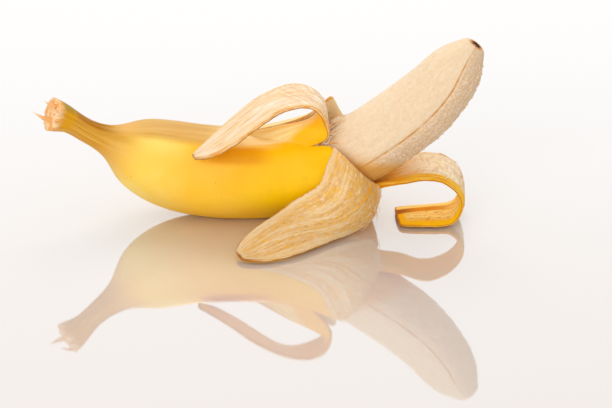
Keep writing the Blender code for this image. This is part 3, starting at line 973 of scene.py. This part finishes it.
def skin_color(look):
    """Yellow skin, tan over the top (lighter near the loop: painted light), painted shade below the
    ridge, golden brown on the neck, peach where a strip is worn.
    """
    large = look.noise(1, 1, 0.045)
    streaks = look.noise(0.05, 1, 0.55, 3)
    left = look.tone(large, 0.35, 0.65, (255, 207, 78), (255, 218, 108))
    middle = look.tone(large, 0.35, 0.65, (252, 188, 26), (255, 198, 56))
    right = look.tone(large, 0.35, 0.65, (253, 194, 0), (255, 202, 0))
    tan = look.tone(streaks, 0.3, 0.7, (210, 154, 62), (220, 172, 88))
    # Lighter tan towards the loop is painted light where the strips shade the top.
    painted_light_tan = look.tone(streaks, 0.3, 0.7, (248, 210, 122), (255, 238, 178))
    tan = look.mix(look.span("along", 66, 90), tan, painted_light_tan)
    shade = look.times(look.span("along", 66, 78), look.span("along", 104, 90),
                       look.span("under", 0, 1, 0.75))
    # A darker gold patch below the ridge near the neck's bend: painted shade.
    crook = look.times(look.span("along", 18, 24), look.span("along", 37, 27, 0.55), "under")
    lines = look.noise(0.03, 1, 0.9, 4, 0.6)
    neck = look.tone(lines, 0.35, 0.65, (200, 134, 18), (234, 182, 78))
    neck = look.mix(look.times("pale", 0.9), neck, (178, 114, 0))
    golden = look.times(look.span("along", 10, 7), look.span("along", 1, 4.5, 0.8))
    green = look.times(look.span("along", 11, 5, 0.85), "pale")
    specks = look.span(look.noise(0.8, 1, 0.5), 0.72, 0.78, 0.35)
    bruise = look.span(look.noise(1, 1, 0.09, 3), 0.6, 0.75, 0.2)

    worn = look.times("worn", look.span("edge", 2.2, 4.4), look.span("tip", 0.5, 0.7))
    peach = look.tone(streaks, 0.35, 0.65, (244, 192, 80), (255, 224, 140))
    dots = look.span(look.noise(0.8, 1, 0.7, 5, 0.7), 0.56, 0.64, 0.9)
    low = look.plus("low", look.line(streaks, 1.2, -0.6))
    scar = look.span(look.calc("ABSOLUTE", look.calc("SUBTRACT", low, 6.2)), 2.9, 1.6)
    scar = look.times(scar, "worn", look.span("tip", 0.64, 0.84))
    far = look.times(look.span(low, 4.6, 3.6), look.span("tip", 0.6, 0.7), "worn")
    return look.layers(
        left,
        (look.span("along", 46, 70), middle),
        (look.span("along", 76, 102), right),
        (look.times("pale", 0.95), tan),
        (shade, (224, 152, 0)),
        (look.span("along", 42, 26), (232, 178, 84)),
        (crook, (202, 142, 4)),
        (look.span("along", 33, 19), neck),
        (golden, (228, 164, 6)),
        (green, (166, 134, 0)),
        (specks, (188, 122, 34)),
        (bruise, (222, 156, 40)),
        (worn, look.mix(dots, peach, (184, 108, 34))),
        (scar, look.tone("tip", 0.9, 0.98, (216, 138, 0), (172, 98, 0))),
        (far, (252, 214, 120)),
    )


def pith_color(look):
    """Cream inside with white and tan streaks, yellow blotches, stained edges, amber roots partly
    painted shade, and painted light on some strips.
    """
    even = look.line("blotch", -0.8, 1)
    streaks = look.noise(0.035, 1, 0.62, 4, 0.6)
    fine = look.noise(0.4, 1, 1.3, 4, 0.75)
    threads = look.noise(0.05, 1, 1.7, 4, 0.6)
    tan = look.noise(0.08, 1, 0.4, 4, 0.6)
    net = look.tone(fine, 0.36, 0.62, (224, 160, 72), (241, 193, 113))
    net = look.mix(look.span(tan, 0.4, 0.64, 0.8), net, (247, 218, 172))
    mottle = look.noise(0.4, 1, 0.6, 4, 0.7)
    fuzz = look.noise(0.35, 1, 0.9, 4, 0.7)
    border = look.plus("edge", look.line(tan, 6, -3))
    creased = look.noise(1, 0.45, 0.75, 3, 0.65)
    near = look.calc("DIVIDE", "edge", look.line("stain", 3.6, 1))
    near = look.plus(near, look.line(streaks, 1, -0.5))
    near = look.times(look.span(near, 1, 0.6), look.times("stain", 2.6))
    stained = look.tone("stain", 0.4, 0.8, (250, 212, 148), (255, 200, 20))
    stained = look.tone(threads, 0.42, 0.54, (232, 150, 20), stained)
    root = look.plus("root", look.line(streaks, 1.6, -0.8))
    amber = look.tone(threads, 0.4, 0.6, (255, 164, 0), (255, 208, 50))
    brown = look.times(look.span("edge", 0.5, 0.05), look.span(fine, 0.3, 0.6, 0.6, 0.1))
    return look.layers(
        look.tone(streaks, 0.3, 0.7, (243, 210, 162), (251, 229, 199)),
        (look.times(look.span(threads, 0.52, 0.62, 0.75), even), (255, 248, 238)),
        (look.times(look.span(threads, 0.45, 0.36, 0.6), even),
         look.mix("worn", (226, 160, 78), (244, 182, 40))),
        (look.times("blotch", 0.95), net),
        (look.times(look.span(mottle, 0.53, 0.63, 0.7), "blotch"), (250, 188, 46)),
        (look.times(look.span(fuzz, 0.54, 0.68, 0.6), "blotch"), (255, 240, 210)),
        (look.times(look.span(border, 3.4, 1, 0.5), "blotch"), (250, 224, 178)),
        # Painted light: lightens the insides of the back and right strips where they lie in shade.
        (look.times("light", 0.9), (255, 232, 186)),
        # Over the bends: darker crease marks and white flecks, partly painted shade and highlight of the
        # wrinkles.
        (look.times("bend", look.span(creased, 0.47, 0.6, 0.65), even), (216, 156, 104)),
        (look.times("bend", look.span(creased, 0.42, 0.36, 0.8), even), (255, 246, 234)),
        (look.calc("MINIMUM", near, 0.92), stained),
        # Amber root: partly a stain, partly painted shade where the strip folds against the fruit.
        (look.span(root, 1.1, 0.35, 0.92), amber),
        (brown, (222, 146, 48)),
    )


def torn_color(look):
    """Cream torn thickness, golden near some roots, with a brown line where the skin ends."""
    fibre = look.noise(0.2, 1.5, 1.2, 3)
    return look.layers(
        look.tone(fibre, 0.35, 0.65, (238, 172, 74), (252, 224, 176)),
        (look.times("gold", look.span("root", 9, 6)), (240, 172, 8)),
        (look.times(look.span("depth", 0.5, 0.25, 0.95), "browned"), (222, 122, 0)),
    )


def stump_color(look):
    """The peach, fibrous broken end of the stem, with rusty patches."""
    peach = look.tone(look.noise(1, 1, 0.12, 3), 0.35, 0.65, (244, 176, 98), (254, 220, 172))
    return look.mix(look.span(look.noise(1, 1, 0.16), 0.6, 0.72, 0.7), peach, (222, 132, 52))


def peel_material():
    """Skin, torn thickness and inside, by depth in the peel, and the stem's broken end."""
    look = Look("banana_peel_look")
    uneven = look.noise(0.3, 1, 0.4, 3)
    tip = look.times(look.span("edge", 1, 0.1), look.span("tip", 0.86, 0.98),
                     look.span(uneven, 0.3, 0.6, 1, 0.4))
    stump = look.span(look.plus("along", look.times(uneven, -2.2)), 2.3, -0.9)
    color = look.layers(
        skin_color(look),
        (look.span("depth", 0.03, 0.2), torn_color(look)),
        (look.span("depth", 0.72, 1), pith_color(look)),
        (tip, (190, 112, 34)),
        (stump, stump_color(look)),
    )
    inner = look.span("depth", 0.1, 0.6)
    roughness = look.calc("MAXIMUM", look.span(inner, 0, 1, 0.8, 0.42), look.times("worn", 0.9))
    pores = look.times(look.noise(1, 1, 2.4, 3), 0.08)
    fibres = look.noise(0.07, 1, 1.5, 4, 0.65)
    net = look.noise(0.8, 1, 1.1, 4, 0.7)
    fibres = look.times(look.plus(fibres, look.times(net, 0.8)), look.line(stump, -0.75, 1))
    height = look.node("ShaderNodeMix", {"Factor": inner, 2: pores, 3: fibres}, data_type="FLOAT")
    return look.soft_finish(color, roughness, look.bump(height.outputs[0], 0.00045),
                            0.1, (0.001, 0.0008, 0.0004), 0.16)


def flesh_material():
    """Cream flesh with fine lengthwise lines, a golden-brown seam, a dark tip and amber near the peel,
    partly painted shade.
    """
    look = Look("banana_flesh_look")
    lines = look.noise(0.04, 1, 0.9, 4, 0.6)
    soft = look.noise(0.7, 1, 0.5, 5, 0.75)
    fine = look.noise(0.8, 1, 1.4, 4, 0.75)
    flecks = look.noise(1, 0.7, 0.9, 4, 0.7)
    grains = look.tone(fine, 0.38, 0.62, (214, 172, 126), (244, 220, 190))
    uneven = look.span(look.noise(0.3, 0.3, 0.8, 3), 0.3, 0.65, 1, 0.4)
    seam = look.times(look.span(look.calc("ABSOLUTE", "depth"), 0.75, 0.1), uneven)
    base = look.plus("stain", look.line(lines, 0.3, -0.15))
    ragged = look.plus("edge", look.times(look.noise(1, 1, 0.35, 3), 0.7))
    color = look.layers(
        look.tone(soft, 0.3, 0.7, (238, 209, 170), (245, 222, 190)),
        (look.span(lines, 0.55, 0.75, 0.2), (226, 190, 146)),
        (look.span(fine, 0.5, 0.7, 0.25), (224, 186, 142)),
        (look.span(flecks, 0.58, 0.7, 0.5), (252, 238, 218)),
        (look.times("tip", 0.8), grains),
        (seam, (214, 150, 62)),
        # Amber towards the peel: partly browning, partly painted shade of the mouth and under the loose
        # strings.
        (look.span(base, 1, 0.6, 0.5), (230, 180, 104)),
        (look.span(base, 0.78, 0.5, 0.92), (230, 170, 80)),
        (look.span(ragged, 0.8, 0.56), (222, 138, 62)),
        (look.span(ragged, 0.55, 0.47), (14, 6, 4)),
    )
    height = look.plus(look.times(lines, 0.35), look.times(fine, 0.7))
    roughness = look.span(fine, 0.2, 0.8, 0.75, 0.55)
    return look.soft_finish(color, roughness, look.bump(height, 0.0003),
                            0.25, (0.003, 0.002, 0.001), 0.3)


def strand_material(name, dark, light, tip):
    """Thin fibres that range from dark to light and pale towards their ends."""
    look = Look(name)
    grain = look.texture(look.node("ShaderNodeTexCoord", {}).outputs["Object"], 900, 3)
    color = look.layers(
        look.tone("tone", 0.2, 0.8, dark, light),
        (look.span(grain, 0.4, 0.7, 0.5), dark),
        (look.span("share", 0.4, 1), tip),
    )
    roughness = look.span(grain, 0.2, 0.8, 0.85, 0.6)
    return look.soft_finish(color, roughness, look.bump(grain, 0.0002),
                            0.15, (0.001, 0.0008, 0.0005), 0.25)


def floor_material():
    """A pale, glossy table top with painted shade that makes it a little greyer near the camera."""
    look = Look("pale_floor")
    smudge = look.node("ShaderNodeTexNoise", {"Scale": 1.5, "Detail": 2.0}).outputs["Fac"]
    place = look.node("ShaderNodeTexCoord", {}).outputs["Object"]
    depth = look.node("ShaderNodeSeparateXYZ", {0: place}).outputs["Y"]
    return look.finish({
        # Painted shade: the colour greys towards the camera.
        "Base Color": look.tone(depth, -0.3, 0.25, (225, 219, 215), (234, 233, 233)),
        "Metallic": 0.46,
        "Roughness": look.span(smudge, 0.2, 0.8, 0.045, 0.03),
    })


# The studio.

def make_floor():
    mesh = bpy.data.meshes.new("floor")
    corners = [(x * FLOOR_HALF, y * FLOOR_HALF, 0) for x, y in ((-1, -1), (1, -1), (1, 1), (-1, 1))]
    mesh.from_pydata(corners, [], [(0, 1, 2, 3)])
    mesh.materials.append(floor_material())
    floor = add_object("floor", mesh)
    floor.location.z = CAD_LOW.z - FLOOR_DROP


def make_camera(target):
    """A camera that looks along +Y and down at a target point."""
    elevation = math.radians(CAMERA_ELEVATION)
    forward = Vector((0, math.cos(elevation), -math.sin(elevation)))
    level = Vector((1, 0, 0))
    above = level.cross(forward)
    right = math.cos(CAMERA_ROLL) * level - math.sin(CAMERA_ROLL) * above
    up = math.sin(CAMERA_ROLL) * level + math.cos(CAMERA_ROLL) * above
    data = bpy.data.cameras.new("camera")
    data.lens = CAMERA_LENS
    camera = add_object("camera", data)
    turn = Matrix((right, up, -forward)).transposed().to_4x4()
    camera.matrix_world = Matrix.Translation(target - forward * CAMERA_DISTANCE) @ turn
    bpy.context.scene.camera = camera


def add_softbox(name, place, target, size, power):
    data = bpy.data.lights.new(name, "AREA")
    data.shape = "DISK"
    data.size = size
    data.energy = power
    light = add_object(name, data)
    light.location = place
    light.rotation_euler = (Vector(target) - Vector(place)).to_track_quat("-Z", "Y").to_euler()


def make_light():
    world = bpy.data.worlds.new("studio")
    world.use_nodes = True
    background = world.node_tree.nodes["Background"]
    background.inputs["Color"].default_value = (1.0, 0.99, 0.98, 1.0)
    background.inputs["Strength"].default_value = 0.8
    bpy.context.scene.world = world
    add_softbox("overhead", (0.1, 0.8, 1.1), (0, 0.2, 0), 0.9, 6.0)
    add_softbox("front", (-0.4, -1.0, 0.42), (0, 0, 0.03), 0.8, 4.6)
    add_softbox("backdrop", (0.0, 2.6, 1.25), (0, 0, 0), 2.6, 6.0)
    bpy.context.scene.view_settings.view_transform = "Standard"


def frame_shift():
    """Moves the drawing so that the peel's box has its bottom centre where the CAD's has it."""
    low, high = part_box("peel")
    centre = (np.array(low) + np.array(high)) / 2 / MM
    return np.array([centre[0], centre[1], low.z / MM]) - DRAWN_CENTRE


def main():
    shift = frame_shift()
    peel = make_peel(peel_material(), shift)
    flesh = make_fruit(flesh_material(), shift)
    for piece, node in ((peel, "peel"), (flesh, "flesh")):
        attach(piece, "root")
        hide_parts(node)
    cream = strand_material("pale_string_look", (230, 176, 104), (255, 244, 226), (250, 228, 194))
    straw = strand_material("stem_fibre_look", (238, 172, 104), (252, 206, 152), (246, 216, 180))
    yellow = strand_material("yellow_thread_look", (240, 170, 20), (250, 190, 40), (250, 196, 70))
    for name, strands, material in (("stem_fibres", stem_strands(), straw),
                                    ("yellow_thread", front_thread(), yellow),
                                    ("loose_strings", fruit_strands() + strip_strands(), cream)):
        piece = make_strands(name, strands, material, shift)
        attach(piece, "root")
    make_floor()
    make_light()
    make_camera(Vector(((shift + CAMERA_TARGET) * MM).tolist()))


main()
